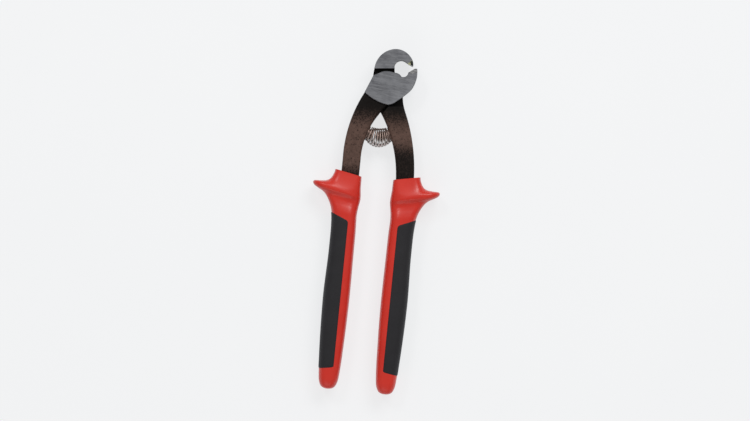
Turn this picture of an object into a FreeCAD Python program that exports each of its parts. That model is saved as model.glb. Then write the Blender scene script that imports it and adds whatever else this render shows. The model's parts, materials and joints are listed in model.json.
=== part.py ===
import FreeCAD, Part
import math
import os

# A parrot-beak tile nipper, lying flat. Two levers cross in a lap joint: the front one
# is the left arm and the lower jaw, the rear one is the right arm and the hooked upper
# jaw. Lengths are in millimetres and angles in degrees. Everything is laid out from the
# pivot, with +Y towards the jaws, +X to the right and +Z up through the thickness. The
# last lines move it so that the origin lies under the middle of the whole tool.

Vector = FreeCAD.Vector

# Head and lap joint
HEAD_THICK = 12.0          # over the two ground faces
HEAD_CHAMFER = 0.25        # broken edge round each ground face
DISC_R = 10.0              # round half-thickness boss of each lever
LAP_GAP = 0.1              # between the two lapped faces
LAP_CLEAR = 0.35           # round each lever inside the other one's recess
SHOULDER_BAND = 1.54       # from the boss to the straight shoulder of the other jaw
UPPER_SHOULDER_TURN = 6.1  # tilt of the upper jaw's shoulder from +X
LOWER_SHOULDER_TURN = -50.9
WINDOW_BAND = 0.6          # the same band on the arm's side
WINDOW_REACH = 13.0        # half the recess's width
CLOSED_TURN = -4.6         # rear lever from rest to tips meeting
OPEN_TURN = 42.5           # rear lever from rest to fully open

# Beaks, drawn from the centre of the round throat between them
THROAT_R = 4.9
THROAT_OVERLAP = 0.28      # the throat's circle runs this far into the boss's circle
THROAT_TURN = 57.3         # direction of the throat from the pivot
SHARP_BAND = 0.8           # rims this near the throat keep their corner
BRAZE_GAP = 0.2            # filler between a carbide tip and its seat

# Pivot rivet
RIVET_R = 3.5
RIVET_HEAD_R = 4.8
RIVET_HEAD_DEPTH = 1.3
RIVET_CLEAR = 0.05         # running fit in the rear lever

# Arms and the tangs inside the grips
ARM_THICK = 9.2
ARM_EDGE_R = 1.8
ARM_OUTER_X = 21.2         # edges of both arms where they enter the grips
ARM_INNER_X = 10.8
ARM_FOOT_Y = -56.0         # the full arm section ends here, inside the grip
TANG_WIDTH = 8.4
TANG_THICK = 6.4
TANG_END_MARGIN = 12.0     # grip left beyond the tang

# Return spring and its two seats, on a circle about the pivot
FAN_CENTRE = (-2.5, -10.5)   # both arms' inner edges run straight out from here
FAN_R = 17.4                 # from there to the ends of the coil's middle line
FAN_BOW = 1.2                # how much further out the middle line is half way
FAN_LEFT_TURN = -108.6       # end planes of the coil
FAN_RIGHT_TURN = -67.2
COIL_OD = 10.8               # the coil is barrel shaped: over its middle turns
COIL_END_OD = 8.2            # and over its end turns
WIRE_D = 0.8
SEAT_CLEAR = 0.3             # between a seat's pin and the coil's end turns
SEAT_PIN_LENGTH = 2.4
SEAT_RIM = 0.1               # of a seat's flange, round the end turns
SEAT_FLANGE = 0.5
SEAT_SHANK_R = 2.0
SEAT_SHANK = 3.0
SLEEVE_STEPS = 12            # straight lengths in the bent sleeve

# Left grip; the right one is its mirror image
GRIP_TOP = 45.0              # highest corner of the collar, below the pivot
GRIP_LENGTH = 131.8
GRIP_INNER_X = ARM_INNER_X - 1.6
GRIP_OUTER_X = ARM_OUTER_X + 3.2
GRIP_THICK = 18.0            # over the palm swell and the finger guard
COLLAR_THICK = 14.6
GRIP_CORNER_R = 5.0
GRIP_CAP = 4.0               # rounded end
SWELL_UP = 52.0              # from the rounded end up to the palm swell
TAPER_UP = 24.0              # and to where the grip begins to taper
MOUTH_DROP = 5.8             # from the grip's top to the slanting mouth, at the arm's middle
MOUTH_TURN = 10.4
WING_TIP_X = 37.0
GUARD_CORNER_R = 7.0         # of the wing, across its thickness
GUARD_INNER_X = GRIP_INNER_X - 0.6
GUARD_INNER_R = 5.4
INLAY_DEPTH = 1.7
INLAY_INNER_X = GRIP_INNER_X + 5.0
INLAY_FOOT_UP = 22.0         # from the grip's end up to the inlay's foot
QUARTER_RISE = 1 - math.sqrt(0.5)   # of a quarter circle's middle over its chord


def polar(radius, degrees):
    """Point at a distance and direction from the pivot."""
    angle = math.radians(degrees)
    return Vector(radius * math.cos(angle), radius * math.sin(angle), 0)


def outline(*steps):
    """Flat closed face. A step is a corner (x, y), or (x, y, bulge) for an arc that
    stands bulge to the left of the straight way to that corner."""
    edges = []
    last = steps[-1]
    for step in steps:
        start = Vector(last[0], last[1], 0)
        end = Vector(step[0], step[1], 0)
        last = step
        if len(step) == 2:
            edges.append(Part.makeLine(start, end))
            continue
        way = end - start
        aside = Vector(-way.y, way.x, 0).normalize() * step[2]
        edges.append(Part.Arc(start, (start + end) * 0.5 + aside, end).toShape())
    return Part.Face(Part.Wire(edges))


def slab(face, low, high):
    """Solid over a flat face, between two heights."""
    solid = face.extrude(Vector(0, 0, high - low))
    solid.translate(Vector(0, 0, low))
    return solid


def turned(shape, degrees):
    """Copy turned about the pivot."""
    copy = shape.copy()
    copy.rotate(Vector(0, 0, 0), Vector(0, 0, 1), degrees)
    return copy


def window(turn):
    """Straight-sided recess over the boss, up to the shoulder with that tilt."""
    shoulder = DISC_R + SHOULDER_BAND
    below = DISC_R + WINDOW_BAND
    face = outline(
        (-WINDOW_REACH, -below),
        (WINDOW_REACH, -below),
        (WINDOW_REACH, shoulder),
        (-WINDOW_REACH, shoulder),
    )
    return turned(face, turn)


# Flat shapes of the two levers -------------------------------------------------------

def boss(degrees):
    """Corner on the round boss."""
    point = polar(DISC_R, degrees)
    return (point.x, point.y)


def boss_arc(start, end):
    """Corner at the end of an arc round the boss, with the arc's bulge."""
    bulge = DISC_R * (1 - math.cos(math.radians(end - start) / 2))
    return boss(end) + (math.copysign(bulge, start - end),)


def beak(x, y, *bulge):
    """Corner of a beak, given from the centre of the throat."""
    centre = polar(DISC_R + THROAT_R - THROAT_OVERLAP, THROAT_TURN)
    return (centre.x + x, centre.y + y) + bulge


# front lever's head, from its top left over the boss and round the mouth to the tip,
# then back underneath
FRONT_HEAD = outline(
    beak(-16.2, -5.6),
    boss(112.0),
    boss_arc(112.0, 84.0),
    beak(-3.3, -2.9),
    beak(0.1, -4.85, 0.45),
    beak(3.7, -2.05, -1.1),
    beak(7.2, 0.6),
    beak(8.6, 0.7),
    beak(5.7, -12.7, 1.55),
    beak(-2.3, -20.05, 0.2),
    beak(-6.0, -21.75, 0.25),
    beak(-20.3, -15.7, 1.15),
)
LOWER_TIP = outline(
    beak(4.4, -1.45), beak(7.2, 0.6), beak(8.6, 0.7), beak(8.75, -1.35), beak(5.5, -2.7)
)

# rear lever's head, from its top left round the boss and the mouth to the hooked tip,
# then back over the top
REAR_HEAD = outline(
    beak(-16.35, -5.75, -0.2),
    boss(160.0),
    boss_arc(160.0, 250.0),
    boss_arc(250.0, 340.0),
    boss_arc(340.0, 420.0),
    beak(-4.0, -3.0),
    beak(-4.35, -0.3),
    beak(1.2, 4.35, 2.4),
    beak(3.6, 2.9, 0.1),
    beak(6.15, 1.9, 0.05),
    beak(5.6, 5.0, -0.2),
    beak(-5.2, 10.8, -1.95),
    beak(-15.6, 1.4, -2.1),
)
UPPER_TIP = outline(
    beak(4.55, 2.5), beak(6.15, 1.9), beak(5.6, 5.0, -0.2), beak(4.3, 4.6)
)
UPPER_POOL = outline(beak(2.9, 3.4), beak(2.9, 2.6), beak(4.7, 2.0), beak(4.6, 4.0))

LEFT_ARM = outline(
    (-11.1, -1.0),
    (-ARM_OUTER_X, -43.0, -3.0),
    (-ARM_OUTER_X, ARM_FOOT_Y),
    (-ARM_INNER_X, ARM_FOOT_Y),
    (-ARM_INNER_X, -43.0),
    (3.2, -8.2, 4.1),
)
RIGHT_ARM = outline(
    (0.0, 0.0),
    (-6.2, -7.6),
    (-2.1, -13.9),
    (ARM_INNER_X, ARM_FOOT_Y, 3.3),
    (ARM_OUTER_X, ARM_FOOT_Y),
    (12.2, -12.4, -2.4),
    (9.9, -3.4, 0.4),
    (6.0, 0.0),
)


# Levers -----------------------------------------------------------------------------

def rounded_arm(face):
    """Arm of forged section: a slab with all its long edges rounded."""
    half = ARM_THICK / 2
    solid = slab(face, -half, half)
    rims = [edge for edge in solid.Edges if abs(abs(edge.CenterOfMass.z) - half) < 0.001]
    return solid.makeFillet(ARM_EDGE_R, rims)


def tang(side):
    """Flat tail of an arm, inside the grip. side is -1 for left and 1 for right."""
    middle = side * (ARM_OUTER_X + ARM_INNER_X) / 2
    end_y = TANG_END_MARGIN - GRIP_TOP - GRIP_LENGTH
    half = TANG_WIDTH / 2
    face = outline(
        (middle - half, ARM_FOOT_Y + 4.0),
        (middle - half, end_y + half),
        (middle + half, end_y + half, -half),
        (middle + half, ARM_FOOT_Y + 4.0),
    )
    return slab(face, -TANG_THICK / 2, TANG_THICK / 2)


def head_slab(face):
    """Flat head. The rims of its two ground faces are broken, but not in the throat."""
    half = HEAD_THICK / 2
    solid = slab(face, -half, half)
    throat = polar(DISC_R + THROAT_R - THROAT_OVERLAP, THROAT_TURN)
    rims = []
    for edge in solid.Edges:
        middle = edge.CenterOfMass
        sharp = math.hypot(middle.x - throat.x, middle.y - throat.y) < THROAT_R + SHARP_BAND
        if abs(abs(middle.z) - half) < 0.001 and not sharp:
            rims.append(edge)
    return solid.makeChamfer(HEAD_CHAMFER, rims)


def lever(head, arm, side):
    return head_slab(head).fuse([rounded_arm(arm), tang(side)])


def lap(solid, other_arm, turns, shoulder_turn, low, high):
    """Cuts away one half of a lever where the other lever lies or swings."""
    tools = [slab(window(shoulder_turn), low, high)]
    room = other_arm.makeOffset2D(LAP_CLEAR)
    for turn in turns:
        tools.append(slab(turned(room, turn), low, high))
    return solid.cut(tools)


def rivet(extra):
    """Shank with a countersunk head at each face, grown by a clearance."""
    half = HEAD_THICK / 2
    shank = Part.makeCylinder(RIVET_R + extra, HEAD_THICK, Vector(0, 0, -half))
    shapes = [shank]
    for face in (-1, 1):
        inner = Vector(0, 0, face * (half - RIVET_HEAD_DEPTH))
        shapes.append(
            Part.makeCone(
                RIVET_R + extra, RIVET_HEAD_R + extra, RIVET_HEAD_DEPTH, inner, Vector(0, 0, face)
            )
        )
    return shapes[0].fuse(shapes[1:]).removeSplitter()


def brazed_tip(solid, tip_face, pool_faces):
    """Seats a carbide tip in a jaw; gives the jaw, the tip and its braze."""
    half = HEAD_THICK / 2
    tip = solid.common(slab(tip_face, -half, half)).removeSplitter()
    seat = slab(tip_face.makeOffset2D(BRAZE_GAP), -half, half)
    for pool in pool_faces:
        seat = seat.fuse(slab(pool, -half, half))
    braze = solid.common(seat).cut(tip).removeSplitter()
    return solid.cut(seat), tip, braze


def fan_point(degrees, bow=0.0):
    """Point on the coil's middle line."""
    return Vector(*FAN_CENTRE, 0) + polar(FAN_R + bow, degrees)


def spring_seat(turn, sense):
    """Stud in an arm's inner edge; sense is the way along the middle line to the coil."""
    out = Vector(0, 0, 1).cross(polar(sense, turn))
    plane = fan_point(turn)
    pin_r = COIL_END_OD / 2 - WIRE_D - SEAT_CLEAR
    flange_r = COIL_END_OD / 2 + SEAT_RIM
    pin = Part.makeCylinder(pin_r, SEAT_PIN_LENGTH, plane, out)
    flange = Part.makeCylinder(flange_r, SEAT_FLANGE, plane - out * SEAT_FLANGE, out)
    root = plane - out * (SEAT_FLANGE + SEAT_SHANK)
    shank = Part.makeCylinder(SEAT_SHANK_R, SEAT_SHANK, root, out)
    return pin.fuse([flange, shank]).removeSplitter()


def return_spring():
    """Barrel-shaped sleeve that the coil fills, bent to the fan of its turns."""
    shares = [step / SLEEVE_STEPS for step in range(SLEEVE_STEPS + 1)]
    skins = []
    for inset in (0.0, WIRE_D):
        rings = []
        for share in shares:
            turn = FAN_LEFT_TURN + (FAN_RIGHT_TURN - FAN_LEFT_TURN) * share
            fullness = math.sin(math.pi * share)
            radius = (COIL_END_OD + (COIL_OD - COIL_END_OD) * fullness) / 2 - inset
            along = Vector(0, 0, 1).cross(polar(1, turn))
            middle = fan_point(turn, FAN_BOW * fullness)
            rings.append(Part.Wire(Part.makeCircle(radius, middle, along)))
        skins.append(Part.makeLoft(rings, True, True))
    return skins[0].cut(skins[1])


# Grips, built for the left arm and mirrored for the right --------------------------------

def drop(x, below, *bulge):
    """Corner given by its distance below the grip's top."""
    return (x, -GRIP_TOP - below) + bulge


def grip_stations():
    """Distance below the pivot, inner edge, outer edge and thickness, down the grip."""
    end = GRIP_TOP + GRIP_LENGTH - GRIP_CAP
    return [
        (GRIP_TOP, GRIP_INNER_X + 0.2, GRIP_OUTER_X + 0.4, COLLAR_THICK),
        (GRIP_TOP + 11.0, GRIP_INNER_X, GRIP_OUTER_X + 0.8, COLLAR_THICK + 0.6),
        (GRIP_TOP + 20.0, GRIP_INNER_X - 0.5, GRIP_OUTER_X + 2.0, COLLAR_THICK + 1.6),
        (GRIP_TOP + 29.0, GRIP_INNER_X + 0.5, GRIP_OUTER_X + 0.2, COLLAR_THICK + 1.4),
        (GRIP_TOP + 43.0, GRIP_INNER_X + 0.3, GRIP_OUTER_X - 0.6, COLLAR_THICK + 2.0),
        (end - SWELL_UP, GRIP_INNER_X, GRIP_OUTER_X, GRIP_THICK),
        (end - TAPER_UP, GRIP_INNER_X + 0.5, GRIP_OUTER_X - 0.7, GRIP_THICK - 1.0),
        (end, GRIP_INNER_X + 1.4, GRIP_OUTER_X - 1.8, GRIP_THICK - 3.0),
    ]


def grip_section(station, inset):
    """Rounded rectangle across the left grip."""
    below, inner, outer, thick = station
    side = (outer - inner) / 2 - inset
    face = thick / 2 - inset
    radius = GRIP_CORNER_R - inset
    rise = -radius * QUARTER_RISE
    flat = outline(
        (-side, -face + radius),
        (-side + radius, -face, rise),
        (side - radius, -face),
        (side, -face + radius, rise),
        (side, face - radius),
        (side - radius, face, rise),
        (-side + radius, face),
        (-side, face - radius, rise),
    )
    wire = flat.OuterWire
    wire.rotate(Vector(0, 0, 0), Vector(1, 0, 0), 90)
    wire.translate(Vector(-(inner + outer) / 2, -below, 0))
    return wire


def grip_loft(inset):
    sections = [grip_section(station, inset) for station in grip_stations()]
    return Part.makeLoft(sections, True, True)


def grip_cap():
    """Rounded end beyond the last station."""
    below, inner, outer, thick = grip_stations()[-1]
    sections = []
    for out, inset in ((0.0, 0.0), (0.68, 0.28), (1.0, 0.9)):
        station = (below + out * GRIP_CAP, inner, outer, thick)
        sections.append(grip_section(station, inset * GRIP_CAP))
    return Part.makeLoft(sections, True, True)


def guard():
    """Slanting finger guard with its wing on the outer side."""
    tip = -WING_TIP_X + 0.8
    face = outline(
        drop(-24.0, 4.0),
        drop(-31.0, 11.9, 2.0),
        drop(tip, 11.6),
        drop(tip, 14.5, -0.8),
        drop(-28.3, 20.3, 0.3),
        drop(-24.5, 29.0, 0.5),
        drop(-16.0, 27.0),
        drop(-GUARD_INNER_X, 21.8),
        drop(-GUARD_INNER_X, 18.2),
        drop(-12.0, 11.0),
    )
    half = GRIP_THICK / 2
    inner_rise = -GUARD_INNER_R * QUARTER_RISE
    wing_rise = -GUARD_CORNER_R * QUARTER_RISE
    across = outline(
        (-WING_TIP_X, -half + GUARD_CORNER_R),
        (-WING_TIP_X + GUARD_CORNER_R, -half, wing_rise),
        (-GUARD_INNER_X - GUARD_INNER_R, -half),
        (-GUARD_INNER_X, -half + GUARD_INNER_R, inner_rise),
        (-GUARD_INNER_X, half - GUARD_INNER_R),
        (-GUARD_INNER_X - GUARD_INNER_R, half, inner_rise),
        (-WING_TIP_X + GUARD_CORNER_R, half),
        (-WING_TIP_X, half - GUARD_CORNER_R, wing_rise),
    )
    across.rotate(Vector(0, 0, 0), Vector(1, 0, 0), 90)
    profile = across.extrude(Vector(0, -WING_TIP_X, 0))
    profile.translate(Vector(0, -GRIP_TOP, 0))
    return slab(face, -half, half).common(profile)


def grip_pieces(filling):
    """Red shell and black inlay of the left grip, round what fills it."""
    full = grip_loft(0.0).fuse(grip_cap())
    beyond = -WING_TIP_X
    foot = GRIP_LENGTH - INLAY_FOOT_UP
    patch = outline(
        drop(beyond, 23.8),
        drop(-INLAY_INNER_X - 2.0, 32.6),
        drop(-INLAY_INNER_X, 35.2, 0.6),
        drop(-INLAY_INNER_X, foot),
        drop(-INLAY_INNER_X - 2.4, foot + 4.0, 0.8),
        drop(beyond, foot + 11.0),
    )
    inlay = full.common(slab(patch, -GRIP_THICK, GRIP_THICK)).cut(grip_loft(INLAY_DEPTH))
    reach = GRIP_LENGTH / 2
    mouth = Part.makeBox(2 * reach, reach, 2 * reach, Vector(-reach, 0, -reach))
    mouth.rotate(Vector(0, 0, 0), Vector(0, 0, 1), -MOUTH_TURN)
    middle = -(ARM_OUTER_X + ARM_INNER_X) / 2
    mouth.translate(Vector(middle, -GRIP_TOP - MOUTH_DROP, 0))
    shell = full.fuse(guard()).cut([mouth, inlay] + filling)
    return shell, inlay


# Assembly -----------------------------------------------------------------------------

def build():
    nodes = {}
    half = HEAD_THICK / 2
    low, high = -half - 1, half + 1
    front = lever(FRONT_HEAD, LEFT_ARM, -1)
    swing = (CLOSED_TURN, OPEN_TURN)
    front = lap(front, RIGHT_ARM, swing, LOWER_SHOULDER_TURN, low, LAP_GAP / 2)
    rear = lever(REAR_HEAD, RIGHT_ARM, 1)
    swing = (-CLOSED_TURN, -OPEN_TURN)
    rear = lap(rear, LEFT_ARM, swing, UPPER_SHOULDER_TURN, -LAP_GAP / 2, high)
    nodes["pivot_rivet"] = rivet(0)
    front = front.cut(rivet(0))
    rear = rear.cut(rivet(RIVET_CLEAR))
    front, nodes["lower_carbide_tip"], nodes["lower_tip_braze"] = brazed_tip(front, LOWER_TIP, [])
    rear, nodes["upper_carbide_tip"], nodes["upper_tip_braze"] = brazed_tip(
        rear, UPPER_TIP, [UPPER_POOL]
    )
    nodes["left_spring_seat"] = spring_seat(FAN_LEFT_TURN, 1)
    nodes["right_spring_seat"] = spring_seat(FAN_RIGHT_TURN, -1)
    nodes["return_spring"] = return_spring()
    nodes["front_lever"] = front.cut(nodes["left_spring_seat"])
    nodes["rear_lever"] = rear.cut(nodes["right_spring_seat"])

    left_filling = [rounded_arm(LEFT_ARM), tang(-1)]
    nodes["left_grip_shell"], nodes["left_grip_inlay"] = grip_pieces(left_filling)
    across = Vector(1, 0, 0)
    right_filling = [
        piece.mirror(Vector(0, 0, 0), across) for piece in (rounded_arm(RIGHT_ARM), tang(1))
    ]
    shell, inlay = grip_pieces(right_filling)
    nodes["right_grip_shell"] = shell.mirror(Vector(0, 0, 0), across)
    nodes["right_grip_inlay"] = inlay.mirror(Vector(0, 0, 0), across)
    return nodes


nodes = build()
box = Part.makeCompound(list(nodes.values())).optimalBoundingBox(False, False)
pivot = Vector(-box.Center.x, -box.Center.y, -box.ZMin)
os.makedirs("parts", exist_ok=True)
for name, shape in nodes.items():
    shape.translate(pivot)
    shape.exportStep("parts/" + name + ".step")
    print(name, len(shape.Solids), "solid", round(shape.Volume, 1), shape.isValid())
print("pivot at", [round(value, 4) for value in pivot])
print("size", [round(value, 3) for value in (box.XLength, box.YLength, box.ZLength)])
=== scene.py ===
import json
import math

import bmesh
import bpy
from mathutils import Matrix, Vector


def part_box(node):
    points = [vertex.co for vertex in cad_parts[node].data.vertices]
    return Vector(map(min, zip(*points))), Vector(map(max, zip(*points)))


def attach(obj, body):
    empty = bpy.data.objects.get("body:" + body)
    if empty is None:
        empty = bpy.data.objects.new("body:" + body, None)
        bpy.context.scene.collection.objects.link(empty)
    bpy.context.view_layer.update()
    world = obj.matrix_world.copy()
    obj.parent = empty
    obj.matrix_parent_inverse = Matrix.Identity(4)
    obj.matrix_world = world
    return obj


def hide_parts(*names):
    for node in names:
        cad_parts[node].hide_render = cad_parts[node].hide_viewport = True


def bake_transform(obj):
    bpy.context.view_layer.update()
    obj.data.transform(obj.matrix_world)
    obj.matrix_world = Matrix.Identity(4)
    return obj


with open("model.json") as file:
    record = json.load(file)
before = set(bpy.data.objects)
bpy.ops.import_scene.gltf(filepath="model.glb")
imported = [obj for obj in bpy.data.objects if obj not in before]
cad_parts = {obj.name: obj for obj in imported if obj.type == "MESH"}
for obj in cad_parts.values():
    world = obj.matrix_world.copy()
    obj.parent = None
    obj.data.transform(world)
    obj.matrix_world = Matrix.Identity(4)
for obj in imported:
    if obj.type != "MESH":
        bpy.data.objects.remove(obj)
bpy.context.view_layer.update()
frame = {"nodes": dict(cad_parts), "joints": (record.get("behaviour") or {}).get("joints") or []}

MM = 0.001
NODES = frame["nodes"]
PIVOT = Vector(frame["joints"][0]["pos_m"])
FACE_LOW, FACE_HIGH = (corner.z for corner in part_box("front_lever"))
MIDDLE = (FACE_LOW + FACE_HIGH) / 2      # height of the tool's middle plane
FACE_OUT = (FACE_HIGH - FACE_LOW) / 2    # from there to a ground jaw face
BROKEN_EDGE = 0.25 * MM                  # round each ground face
GRIP_END = (PIVOT.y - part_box("left_grip_shell")[0].y) / MM    # below the pivot
WING_TIP = (PIVOT.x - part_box("left_grip_shell")[0].x) / MM
GRIP_HALF = (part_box("left_grip_shell")[1].z - MIDDLE) / MM    # half the fullest thickness


def at(x, y, out=0.0):
    """Point of the tool, in millimetres right of, above and out from the pivot."""
    return Vector((PIVOT.x + x * MM, PIVOT.y + y * MM, MIDDLE + out * MM))


# Camera, floor and light --------------------------------------------------------------

CAMERA_AIM = (0.46, -71.08)      # millimetres from the pivot
CAMERA_HEIGHT = 1.5
CAMERA_TURN = math.radians(5.76)
SENSOR_WIDTH = 36.0
SEEN_WIDTH = 0.43575             # across the view, at the tool
LIGHT_AIM = (0, -70)
SKY_STRENGTH = 0.4
FLOOR_SIZE = 4.0
FLOOR_DROP = 0.1 * MM            # keeps the floor clear of the faces that lie on it


def make_camera():
    """Looks straight down on the tool, which lies a little turned in the view."""
    data = bpy.data.cameras.new("camera")
    data.sensor_width = SENSOR_WIDTH
    data.lens = SENSOR_WIDTH * CAMERA_HEIGHT / SEEN_WIDTH
    camera = bpy.data.objects.new("camera", data)
    bpy.context.collection.objects.link(camera)
    camera.location = at(*CAMERA_AIM) + Vector((0, 0, CAMERA_HEIGHT))
    camera.rotation_euler = (0, 0, CAMERA_TURN)
    bpy.context.scene.camera = camera


def soft_light(name, place, size, power):
    """Area light at a place seen from the middle of the tool, turned towards it."""
    data = bpy.data.lights.new(name, "AREA")
    data.shape = "RECTANGLE"
    data.size, data.size_y = size
    data.energy = power
    light = bpy.data.objects.new(name, data)
    bpy.context.collection.objects.link(light)
    light.location = at(*LIGHT_AIM) + Vector(place)
    light.rotation_euler = Vector(place).to_track_quat("Z", "Y").to_euler()


def make_studio():
    soft_light("key", (0.4, 0.95, 1.2), (0.9, 0.5), 12.0)
    soft_light("spot", (-0.6, 0.75, 1.2), (0.3, 0.3), 4.0)
    soft_light("low_fill", (-0.2, -1.2, 0.8), (1.2, 0.9), 3.0)
    world = bpy.data.worlds.new("studio")
    bpy.context.scene.world = world
    world.use_nodes = True
    sky = world.node_tree.nodes["Background"]
    sky.inputs["Color"].default_value = (1, 1, 1, 1)
    sky.inputs["Strength"].default_value = SKY_STRENGTH
    bpy.context.scene.view_settings.view_transform = "Standard"
    make_floor()


def make_floor():
    mesh = bpy.data.meshes.new("floor")
    bm = bmesh.new()
    bmesh.ops.create_grid(bm, x_segments=1, y_segments=1, size=FLOOR_SIZE)
    bmesh.ops.translate(bm, vec=(0, 0, -FLOOR_DROP), verts=bm.verts)
    bm.to_mesh(mesh)
    bm.free()
    floor = bpy.data.objects.new("floor", mesh)
    bpy.context.collection.objects.link(floor)
    material, tree, shader = new_finish("pale_floor", {
        "Roughness": 0.9, "Specular IOR Level": 0.1,
        "Emission Color": (0.98, 0.99, 1.0, 1.0), "Emission Strength": 0.74,
    })
    tone = grain(tree, place_of(tree), 9.0, 2.0)
    paint(tree, shader, mixed(tree, tone, (0.17, 0.17, 0.173), (0.185, 0.185, 0.185)))
    mesh.materials.append(material)


# Node helpers -------------------------------------------------------------------------

def new_finish(name, constants):
    """New finish, its node tree and its shader, with the constants set on it."""
    material = bpy.data.materials.new(name)
    material.use_nodes = True
    tree = material.node_tree
    shader = tree.nodes["Principled BSDF"]
    for socket, value in constants.items():
        shader.inputs[socket].default_value = value
    return material, tree, shader


def add(tree, kind, inputs, **settings):
    node = tree.nodes.new("ShaderNode" + kind)
    for name, value in settings.items():
        setattr(node, name, value)
    for key, value in inputs.items():
        if isinstance(value, bpy.types.NodeSocket):
            tree.links.new(value, node.inputs[key])
        else:
            node.inputs[key].default_value = value
    return node


def place_of(tree):
    return add(tree, "TexCoord", {}).outputs["Object"]


def stretched(tree, place, scale, turn=0.0):
    """Place turned about the tool's thickness, then scaled."""
    turned = add(tree, "VectorRotate", {"Vector": place, "Angle": math.radians(turn)})
    return add(tree, "VectorMath", {0: turned.outputs[0], 1: scale},
               operation="MULTIPLY").outputs[0]


def grain(tree, place, scale, detail=3.0, rough=0.55, distortion=0.0):
    return add(tree, "TexNoise", {
        "Vector": place, "Scale": scale, "Detail": detail,
        "Roughness": rough, "Distortion": distortion,
    }).outputs[0]


def maths(tree, operation, a, b=0.0):
    return add(tree, "Math", {0: a, 1: b}, operation=operation).outputs[0]


def ranged(tree, value, low, high, to_low=0.0, to_high=1.0):
    """Value eased from one range into another."""
    return add(tree, "MapRange", {
        "Value": value, "From Min": low, "From Max": high, "To Min": to_low, "To Max": to_high,
    }, interpolation_type="SMOOTHSTEP").outputs[0]


def mixed(tree, share, a, b):
    """Colour a to colour b by share."""
    a, b = (c if isinstance(c, bpy.types.NodeSocket) else (*c, 1.0) for c in (a, b))
    return add(tree, "Mix", {0: share, 6: a, 7: b}, data_type="RGBA").outputs[2]


def relief(tree, height, depth, strength=1.0, under=None):
    inputs = {"Height": height, "Distance": depth, "Strength": strength}
    if under is not None:
        inputs["Normal"] = under
    return add(tree, "Bump", inputs).outputs[0]


def paint(tree, shader, colour=None, rough=None, normal=None, metal=None):
    wanted = {"Base Color": colour, "Roughness": rough, "Normal": normal, "Metallic": metal}
    for socket, value in wanted.items():
        if value is not None:
            tree.links.new(value, shader.inputs[socket])


def axes(tree, place):
    return add(tree, "SeparateXYZ", {0: place}).outputs


# Finishes -----------------------------------------------------------------------------

# All in millimetres; the painted reflection on the arms and the wire's brown zone are measured
# down from the pivot.
PAINT_FADE = 0.06                        # from paint to bare steel at a face's broken edge
REFLECTION_FROM, REFLECTION_FULL = 10, 26        # the arms' black paint takes on a painted warm reflection between these
REFLECTION_FADE = 12                         # and the painted reflection fades back to black over this length
BROWN_TO, BRIGHT_FROM = 28.5, 32.5     # the spring's wire is brown above these
# where the painted reflection starts to fade on each lever's arms
FRONT_REFLECTION_FOOT, REAR_REFLECTION_FOOT = 43, 28
FRONT_BRUSH_TURN, REAR_BRUSH_TURN = 14, 6    # of the grinding scratches, in degrees


def ground_steel(tree, place, brush_turn):
    """Colour, roughness and relief of a ground face: faint scratches on a cloudy tone."""
    x, y, _ = axes(tree, place)
    fine = grain(tree, stretched(tree, place, (260, 3200, 500), brush_turn), 1.0, 4.0, 0.65)
    broad = grain(tree, stretched(tree, place, (70, 820, 300), brush_turn - 9), 1.0, 4.0, 0.7)
    cloud = grain(tree, place, 170.0, 3.0, 0.6)
    streak = maths(tree, "ADD", maths(tree, "MULTIPLY", fine, 0.4),
                   maths(tree, "MULTIPLY", broad, 0.6))
    tone = maths(tree, "ADD", maths(tree, "MULTIPLY", streak, 0.72),
                 maths(tree, "MULTIPLY", cloud, 0.28))
    # brighter towards the lower jaw's outer edge
    across = maths(tree, "SUBTRACT", maths(tree, "MULTIPLY", x, 0.8),
                   maths(tree, "MULTIPLY", maths(tree, "SUBTRACT", y, PIVOT.y), 0.6))
    brighter_outwards = ranged(tree, across, 2 * MM, 13 * MM, 0.0, 0.22)
    share = maths(tree, "ADD", ranged(tree, tone, 0.32, 0.68, 0.0, 0.8), brighter_outwards)
    colour = mixed(tree, share, (0.1, 0.102, 0.111), (0.36, 0.365, 0.385))
    rough = ranged(tree, tone, 0.3, 0.7, 0.52, 0.38)
    return colour, rough, relief(tree, streak, 0.02 * MM, 0.6)


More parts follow.
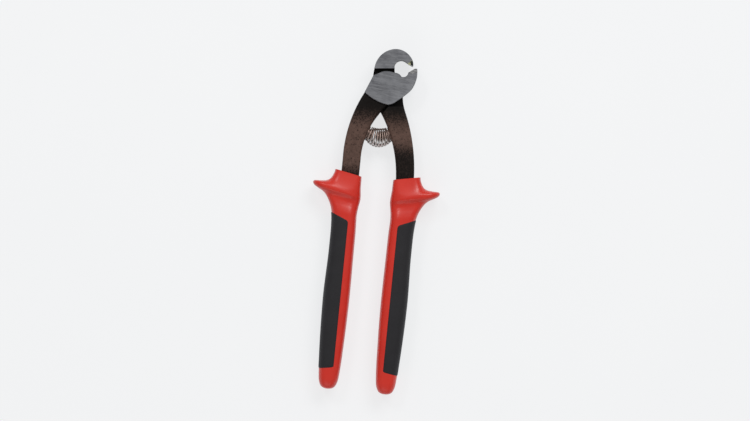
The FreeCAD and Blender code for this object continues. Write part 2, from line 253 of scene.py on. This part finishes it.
def lever_finish(name, brush_turn, reflection_foot):
    """Ground steel on the two flat jaw faces, hammered black paint on everything else.
    A painted warm reflection laid over the paint fades below the given foot, in millimetres from
    the pivot."""
    material, tree, shader = new_finish(name, {"Specular IOR Level": 0.09})
    place = place_of(tree)
    _, y, z = axes(tree, place)
    off_middle = maths(tree, "ABSOLUTE", maths(tree, "SUBTRACT", z, MIDDLE))
    edge = FACE_OUT - BROKEN_EDGE
    ground = ranged(tree, off_middle, edge - PAINT_FADE * MM, edge)
    steel, steel_rough, scratches = ground_steel(tree, place, brush_turn)

    # hammered paint: pebbled and black, with a painted warm reflection half way down the arms
    pebble = grain(tree, place, 1300.0, 2.0, 0.6)
    coarse = grain(tree, place, 420.0, 2.0)
    down = maths(tree, "SUBTRACT", PIVOT.y, y)
    rise = ranged(tree, down, REFLECTION_FROM * MM, REFLECTION_FULL * MM)
    fall = ranged(tree, down, reflection_foot * MM, (reflection_foot + REFLECTION_FADE) * MM, 1.0, 0.12)
    reflection_band = maths(tree, "MULTIPLY", rise, fall)
    raised = maths(tree, "ADD", pebble, maths(tree, "MULTIPLY", reflection_band, 0.2))
    speck = ranged(tree, raised, 0.5, 0.64)
    cover = maths(tree, "ADD", maths(tree, "MULTIPLY", speck, 0.8), 0.2)
    reflection_share = maths(tree, "MULTIPLY", reflection_band, cover)
    reflection_share = maths(tree, "MULTIPLY", reflection_share, ranged(tree, coarse, 0.2, 0.8, 0.7, 1.1))
    black = mixed(tree, pebble, (0.0035, 0.0027, 0.0024), (0.0095, 0.0075, 0.0066))
    # the brown colour mixed in here is painted reflection, not a colour of the paint
    coat = mixed(tree, reflection_share, black, (0.112, 0.067, 0.053))
    coat_rough = ranged(tree, coarse, 0.3, 0.7, 0.34, 0.5)

    normal = add(tree, "Mix", {0: ground, 4: relief(tree, pebble, 0.07 * MM, 0.6), 5: scratches},
                 data_type="VECTOR").outputs[1]
    rough = add(tree, "Mix", {0: ground, 2: coat_rough, 3: steel_rough}).outputs[0]
    paint(tree, shader, mixed(tree, ground, coat, steel), rough, normal, ground)
    return material


def rivet_finish():
    """Both rivet ends are ground off with the faces, so they carry the same scratches."""
    material, tree, shader = new_finish("ground_rivet", {"Metallic": 1.0})
    paint(tree, shader, *ground_steel(tree, place_of(tree), FRONT_BRUSH_TURN))
    return material


def carbide_finish(name, dark, light):
    """Ground carbide, a little mottled where it has been used."""
    material, tree, shader = new_finish(name, {"Metallic": 0.9})
    place = place_of(tree)
    fleck = grain(tree, place, 2400.0, 3.0)
    wear = grain(tree, stretched(tree, place, (300, 1500, 500), 20), 1.0, 3.0)
    paint(tree, shader, mixed(tree, ranged(tree, wear, 0.35, 0.65), dark, light),
          ranged(tree, fleck, 0.3, 0.7, 0.28, 0.45), relief(tree, fleck, 0.01 * MM, 0.6))
    return material


def braze_finish(name, dark, light):
    """Filler metal as it flowed, in small pools."""
    material, tree, shader = new_finish(name, {"Metallic": 0.9})
    pool = grain(tree, place_of(tree), 900.0, 2.0)
    paint(tree, shader, mixed(tree, ranged(tree, pool, 0.35, 0.65), dark, light),
          ranged(tree, pool, 0.3, 0.7, 0.25, 0.5), relief(tree, pool, 0.05 * MM, 0.7))
    return material


def seat_finish():
    material, tree, shader = new_finish("blackened_seat", {"Metallic": 0.6})
    place = place_of(tree)
    turning = grain(tree, stretched(tree, place, (300, 3000, 300), 10), 1.0, 3.0)
    seat_mottle = grain(tree, place, 800.0, 3.0)
    # the brown is painted reflection like the arms', made lighter as painted light against the
    # shade between arm and coil
    paint(tree, shader, mixed(tree, seat_mottle, (0.09, 0.056, 0.046), (0.2, 0.13, 0.105)),
          ranged(tree, seat_mottle, 0.3, 0.7, 0.3, 0.5), relief(tree, turning, 0.03 * MM, 0.5))
    return material


def wire_finish():
    """Bright drawn wire, brown towards the pivot, with painted shade on the inside of the turns.
    """
    material, tree, shader = new_finish("spring_wire", {"Metallic": 0.85})
    place = place_of(tree)
    _, y, _ = axes(tree, place)
    down = maths(tree, "SUBTRACT", PIVOT.y, y)
    draw = grain(tree, place, 1500.0, 3.0)
    brown_share = ranged(tree, down, BROWN_TO * MM, BRIGHT_FROM * MM, 1.0, 0.0)
    inner = add(tree, "Attribute", {}, attribute_name="inner_side").outputs["Fac"]
    bright = mixed(tree, draw, (0.6, 0.57, 0.55), (0.8, 0.78, 0.76))
    brown = mixed(tree, draw, (0.29, 0.21, 0.18), (0.41, 0.31, 0.27))
    outer = mixed(tree, brown_share, bright, brown)
    # painted shade: the inner side of the wire is darker, darkest near the pivot where the turns
    # close up
    inside = mixed(tree, brown_share, (0.36, 0.335, 0.315), (0.125, 0.082, 0.064))
    paint(tree, shader, mixed(tree, inner, outer, inside),
          ranged(tree, draw, 0.3, 0.7, 0.42, 0.56), relief(tree, draw, 0.01 * MM, 0.4))
    return material


def red_finish():
    """Glossy red moulding with a faint ripple and a little scuffing."""
    material, tree, shader = new_finish("red_moulding", {
        "Specular IOR Level": 0.3, "Coat Weight": 0.2, "Coat Roughness": 0.24,
        "Subsurface Weight": 0.04,
        "Subsurface Radius": (0.002, 0.0006, 0.0005),
    })
    place = place_of(tree)
    ripple = grain(tree, place, 170.0, 2.0)
    skin = grain(tree, place, 1600.0, 3.0)
    tone = grain(tree, place, 60.0, 3.0)
    paint(tree, shader, mixed(tree, tone, (0.53, 0.019, 0.011), (0.67, 0.034, 0.018)),
          ranged(tree, tone, 0.3, 0.7, 0.3, 0.42),
          relief(tree, skin, 0.006 * MM, 0.4, relief(tree, ripple, 0.15 * MM, 0.35)))
    return material


def soft_finish():
    """Matt black soft plastic with a fine spark-eroded stipple."""
    material, tree, shader = new_finish("black_soft", {
        "Specular IOR Level": 0.3, "Sheen Weight": 0.04, "Sheen Roughness": 0.4,
        "Sheen Tint": (0.75, 0.8, 0.95, 1.0),
    })
    place = place_of(tree)
    stipple = grain(tree, place, 2600.0, 2.0)
    tone = grain(tree, place, 110.0, 3.0)
    paint(tree, shader, mixed(tree, tone, (0.011, 0.0105, 0.012), (0.019, 0.018, 0.021)),
          ranged(tree, stipple, 0.3, 0.7, 0.55, 0.78), relief(tree, stipple, 0.012 * MM, 0.5))
    return material


# Grips --------------------------------------------------------------------------------

# Across the left grip from its inner to its outer edge, both in millimetres from the
# pivot, then half the thickness there and how square the section is.
SECTIONS = [
    (-9.30, -52.3, -24.85, -49.3, 7.2, 4.2),
    (-9.20, -53.6, -25.1, -50.9, 7.3, 4.2),
    (-9.15, -55.6, -25.7, -52.6, 7.5, 4.0),
    (-9.10, -57.8, -26.5, -54.1, 7.75, 3.8),
    (-9.00, -59.8, -27.6, -55.4, 8.05, 3.5),
    (-8.85, -61.3, -29.6, -56.35, 8.35, 3.3),
    (-8.70, -62.5, -32.8, -56.75, 8.65, 3.1),
    (-8.62, -63.6, -36.0, -56.9, 8.9, 3.0),
    (-8.60, -64.4, -WING_TIP, -57.9, GRIP_HALF, 3.0),
    (-8.60, -65.2, -36.2, -59.6, 8.75, 3.0),
    (-8.64, -66.0, -33.7, -61.2, 8.1, 3.0),
    (-8.80, -67.2, -31.1, -62.6, 7.4, 3.0),
    (-9.10, -68.8, -29.1, -64.4, 7.1, 3.1),
    (-9.40, -70.8, -27.3, -67.1, 7.4, 3.2),
    (-9.65, -73.0, -25.8, -70.2, 7.95, 3.2),
    (-9.80, -75.8, -24.8, -73.6, 8.35, 3.1),
    (-9.70, -79.2, -24.2, -77.4, 8.35, 3.0),
    (-9.50, -83.6, -23.85, -82.8, 8.2, 2.9),
    (-9.42, -90.0, -23.75, -90.0, 8.3, 2.9),
    (-9.35, -100.0, -23.8, -100.0, 8.5, 2.9),
    (-9.20, -111.0, -24.15, -111.0, 8.65, 2.9),
    (-9.15, -122.0, -24.4, -122.0, 8.7, 2.9),
    (-9.30, -135.0, -24.2, -135.0, 8.6, 2.9),
    (-9.70, -148.0, -23.75, -148.0, 8.4, 2.9),
    (-10.1, -159.0, -23.2, -159.0, 8.1, 2.8),
    (-10.6, -167.0, -22.75, -167.0, 7.8, 2.7),
    (-11.2, -172.0, -22.2, -172.0, 7.3, 2.6),
    (-12.6, -GRIP_END + 1.6, -20.9, -GRIP_END + 1.6, 5.9, 2.5),
    (-14.5, -GRIP_END + 0.3, -18.9, -GRIP_END + 0.3, 3.4, 2.3),
    (-16.7, -GRIP_END, -16.7, -GRIP_END, 0.0, 2.0),
]
SHARP_ANGLE = math.radians(50)
ROUND = 56         # edges round a grip
STEPS = 5          # rings from one section to the next

# Edge of the soft inlay, as straight cuts: a point on each and the way out of the inlay.
INLAY_TOP = (-16.0, -77.8)
INLAY_TOP_TURN = 67.4
INLAY_INNER_X = -14.2
INLAY_CORNER_R = 2.6
INLAY_FOOT_Y = -160.0
INLAY_FOOT_R = 1.6 * INLAY_CORNER_R
INLAY_PROUD = 0.25         # of the shell
INLAY_SUNK = 0.35          # the rim starts this far under it
INLAY_ROUND = 0.7          # width of the rounded rim
INLAY_DEEP = 1.5
# Collar's mouth: the flat lip, its rounding, and the well's slope and depth.
LIP_WIDTH, LIP_R = 1.3, 0.55
WELL_SLOPE, WELL_DEPTH = 0.25, 0.9


def smooth_value(values, along):
    """Value between the listed ones, on a curve that passes through each of them."""
    last = len(values) - 1
    i = min(int(along), last - 1)
    t = along - i
    before, a, b, after = (values[max(0, min(last, k))] for k in (i - 1, i, i + 1, i + 2))
    rise_a, rise_b = (b - before) / 2, (after - a) / 2
    if (b - a) * (a - before) <= 0:
        rise_a = 0.0
    if (after - b) * (b - a) <= 0:
        rise_b = 0.0
    return (a * (2 * t ** 3 - 3 * t ** 2 + 1) + rise_a * (t ** 3 - 2 * t ** 2 + t)
            + b * (3 * t ** 2 - 2 * t ** 3) + rise_b * (t ** 3 - t ** 2))


def grip_point(round_x, round_y, along):
    """Where a point of a plain tube goes on the left grip."""
    in_x, in_y, out_x, out_y, half, square = (
        smooth_value(column, along) for column in zip(*SECTIONS)
    )
    power = 2.0 / square
    across = math.copysign(abs(round_x) ** power, round_x)
    out = math.copysign(abs(round_y) ** power, round_y)
    return at((in_x + out_x) / 2 + (out_x - in_x) / 2 * across,
              (in_y + out_y) / 2 + (out_y - in_y) / 2 * across, half * out)


def grip_tube():
    """Closed skin of the left grip, with an open mouth at the collar."""
    bm = bmesh.new()
    bmesh.ops.create_circle(bm, cap_ends=False, segments=ROUND, radius=1.0)
    ring = list(bm.edges)
    for _ in range((len(SECTIONS) - 1) * STEPS):
        made = bmesh.ops.extrude_edge_only(bm, edges=ring)["geom"]
        verts = [g for g in made if isinstance(g, bmesh.types.BMVert)]
        bmesh.ops.translate(bm, vec=(0, 0, 1.0 / STEPS), verts=verts)
        ring = [g for g in made if isinstance(g, bmesh.types.BMEdge)
                and g.verts[0] in verts and g.verts[1] in verts]
    for v in bm.verts:
        v.co = grip_point(v.co.x, v.co.y, v.co.z)
    bmesh.ops.remove_doubles(bm, verts=bm.verts, dist=0.001 * MM)
    bmesh.ops.recalc_face_normals(bm, faces=bm.faces)
    return bm


def hollow_mouth(bm):
    """Lip of the collar and the shallow well that the arm comes out of."""
    rim = [e for e in bm.edges if e.is_boundary]
    face = bmesh.ops.contextual_create(bm, geom=rim)["faces"][0]
    bmesh.ops.recalc_face_normals(bm, faces=bm.faces)
    lip = list(face.edges)
    bmesh.ops.inset_region(bm, faces=[face], thickness=LIP_WIDTH * MM,
                           use_even_offset=True)
    bmesh.ops.inset_region(bm, faces=[face], thickness=WELL_SLOPE * MM,
                           depth=-WELL_DEPTH * MM, use_even_offset=True)
    bmesh.ops.bevel(bm, geom=lip, offset=LIP_R * MM, offset_type="OFFSET", segments=3,
                    profile=0.5, affect="EDGES", material=-1)


def inlay_cuts():
    """The straight cuts round the soft inlay: a point on each and the way out of it."""
    up = math.radians(INLAY_TOP_TURN)
    top = Vector((math.cos(up), math.sin(up)))
    start = Vector(INLAY_TOP)
    reach = top.dot(start)
    centre_x = INLAY_INNER_X - INLAY_CORNER_R
    centre_y = (reach - INLAY_CORNER_R - top.x * centre_x) / top.y
    centre = Vector((centre_x, centre_y))
    cuts = []
    for share in (0.0, 0.2, 0.4, 0.6, 0.8, 1.0):
        out = Vector((math.cos(up * share), math.sin(up * share)))
        cuts.append((centre + out * INLAY_CORNER_R, out))
    foot = Vector((centre_x, INLAY_FOOT_Y))
    for turn in (-20, -40, -60, -80):
        out = Vector((math.cos(math.radians(turn)), math.sin(math.radians(turn))))
        cuts.append((foot + out * INLAY_FOOT_R, out))
    return cuts


def inside_by(point, cuts):
    """How far a point lies inside the nearest of the cuts, in millimetres."""
    flat = Vector(((point.x - PIVOT.x) / MM, (point.y - PIVOT.y) / MM))
    return min((on - flat).dot(out) for on, out in cuts)


def inlay_pad(skin):
    """The part of the skin inside the cuts, a little proud and with a rounded edge."""
    bm = skin.copy()
    cuts = inlay_cuts()
    for deep in (0.0, 0.1, 0.3, INLAY_ROUND):
        for on, out in cuts:
            spot = on - out * deep
            bmesh.ops.bisect_plane(
                bm, geom=bm.verts[:] + bm.edges[:] + bm.faces[:], dist=0.002 * MM,
                plane_co=at(spot.x, spot.y), plane_no=(out.x, out.y, 0.0),
                clear_outer=deep == 0.0,
            )
    bm.normal_update()
    lifts = []
    for v in bm.verts:
        near = min(max(inside_by(v.co, cuts) / INLAY_ROUND, 0.0), 1.0)
        rise = math.sqrt(1.0 - (1.0 - near) ** 2)
        lifts.append((v, v.normal * (INLAY_PROUD * rise - INLAY_SUNK * (1.0 - rise)) * MM))
    for v, lift in lifts:
        v.co += lift
    bmesh.ops.solidify(bm, geom=bm.faces[:], thickness=INLAY_DEEP * MM)
    bmesh.ops.recalc_face_normals(bm, faces=bm.faces)
    return bm


def face_out(bm):
    """Turns every face of a closed skin outwards."""
    bmesh.ops.recalc_face_normals(bm, faces=bm.faces)
    if bm.calc_volume(signed=True) < 0:
        bmesh.ops.reverse_faces(bm, faces=bm.faces)


def to_piece(bm, name, finish, body, replaced, mirrored=False):
    """Makes the bmesh a smooth-shaded object that rides on a body."""
    if mirrored:
        bmesh.ops.scale(bm, vec=(-1, 1, 1), verts=bm.verts,
                        space=Matrix.Translation((-PIVOT.x, 0, 0)))
    face_out(bm)
    for face in bm.faces:
        face.smooth = True
    mesh = bpy.data.meshes.new(name)
    bm.to_mesh(mesh)
    bm.free()
    mesh.set_sharp_from_angle(angle=SHARP_ANGLE)
    mesh.materials.append(finish)
    piece = bpy.data.objects.new(name, mesh)
    bpy.context.collection.objects.link(piece)
    if body is not None:
        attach(piece, body)
    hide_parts(*replaced)
    return piece


def make_grips(red, soft):
    for side, body in (("left", "front_half"), ("right", "rear_half")):
        mirrored = side == "right"
        skin = grip_tube()
        pad = inlay_pad(skin)
        hollow_mouth(skin)
        to_piece(skin, side + "_red_grip", red, body,
                 [side + "_grip_shell"], mirrored)
        to_piece(pad, side + "_soft_inlay", soft, body,
                 [side + "_grip_inlay"], mirrored)


# Spring -------------------------------------------------------------------------------

FAN_CENTRE = (-2.5, -10.5)    # both arms' inner edges run straight out from here
FAN_R = 17.2                  # from there to the coil's middle line
FAN_FROM, FAN_TO = -108.6, -67.2
FAN_BOW = 1.2                 # how much further out the middle line is half way
COIL_R = 5.2                  # of the middle turns, to the middle of the wire
COIL_END_R = 3.7              # and of the end turns, which grip the seats
WIRE_R = 0.42
TURNS = 9.0
LEAN = 0.32                   # how far the middle turns tip out of square
TURN_STEPS = 44
WIRE_SIDES = 12
SWELL = 0.7                   # how soon the end turns reach the middle turns' size
LEAN_SWELL = 0.6              # how soon they reach the full lean
LEAN_LEFT, LEAN_GAIN = 0.5, 0.6    # share of the lean at the left seat, and gain to the right


def fan_place(along, reach=0.0, out=0.0):
    """Place by its share of the way from seat to seat, beyond the coil's middle line."""
    turn = math.radians(FAN_FROM + (FAN_TO - FAN_FROM) * along)
    away = FAN_R + reach
    return at(FAN_CENTRE[0] + math.cos(turn) * away, FAN_CENTRE[1] + math.sin(turn) * away, out)


def make_spring(finish):
    """Coil wound straight, then swelled to a barrel and fanned between the two seats."""
    length = FAN_R * math.radians(FAN_TO - FAN_FROM)
    steps = int(TURNS * TURN_STEPS)
    bm = bmesh.new()
    made = bmesh.ops.create_circle(
        bm, cap_ends=False, segments=WIRE_SIDES, radius=WIRE_R,
        matrix=Matrix.Translation((COIL_R, 0, 0)) @ Matrix.Rotation(math.radians(90), 4, "X"),
    )
    bmesh.ops.spin(bm, geom=made["verts"] + bm.edges[:], cent=(0, 0, 0), axis=(0, 0, 1),
                   dvec=(0, 0, (length - 2 * WIRE_R) / steps),
                   angle=math.radians(360) * TURNS, steps=steps,
                   use_merge=False, use_duplicate=False)
    bmesh.ops.holes_fill(bm, edges=[e for e in bm.edges if e.is_boundary])
    bmesh.ops.translate(bm, vec=(0, 0, WIRE_R), verts=bm.verts)
    inner_side = bm.verts.layers.float.new("inner_side")
    for v in bm.verts:
        v[inner_side] = 0.5 + 0.5 * (COIL_R - math.hypot(v.co.x, v.co.y)) / WIRE_R
        along = v.co.z / length
        fullness = math.sin(math.pi * min(max(along, 0.0), 1.0)) ** SWELL
        slim = (COIL_END_R + (COIL_R - COIL_END_R) * fullness) - COIL_R
        aside = Vector((v.co.x, v.co.y, 0)).normalized() * slim
        bow = FAN_BOW * math.sin(math.pi * along)
        lean = (LEAN * max(0.0, math.sin(math.pi * along)) ** LEAN_SWELL
                * (LEAN_LEFT + LEAN_GAIN * along))
        v.co = fan_place(along + lean * v.co.y / length, v.co.x + aside.x + bow,
                         v.co.y + aside.y)
    spring = to_piece(bm, "coil_spring", finish, None, ["return_spring"])
    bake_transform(spring)


# Assembly -----------------------------------------------------------------------------

def finish_cad_nodes():
    seat = seat_finish()
    finishes = {
        "front_lever": lever_finish("front_lever_finish", FRONT_BRUSH_TURN,
                                    FRONT_REFLECTION_FOOT),
        "rear_lever": lever_finish("rear_lever_finish", REAR_BRUSH_TURN, REAR_REFLECTION_FOOT),
        "pivot_rivet": rivet_finish(),
        "lower_carbide_tip": carbide_finish("bright_carbide", (0.2, 0.2, 0.2),
                                            (0.42, 0.42, 0.42)),
        "upper_carbide_tip": carbide_finish("dark_carbide", (0.02, 0.022, 0.02),
                                            (0.1, 0.105, 0.09)),
        "lower_tip_braze": braze_finish("silver_braze", (0.05, 0.05, 0.052), (0.22, 0.22, 0.22)),
        "upper_tip_braze": braze_finish("brass_braze", (0.3, 0.31, 0.15), (0.66, 0.66, 0.4)),
        "left_spring_seat": seat,
        "right_spring_seat": seat,
    }
    for name, finish in finishes.items():
        for slot in NODES[name].material_slots:
            slot.material = finish


make_camera()
make_studio()
finish_cad_nodes()
make_grips(red_finish(), soft_finish())
make_spring(wire_finish())
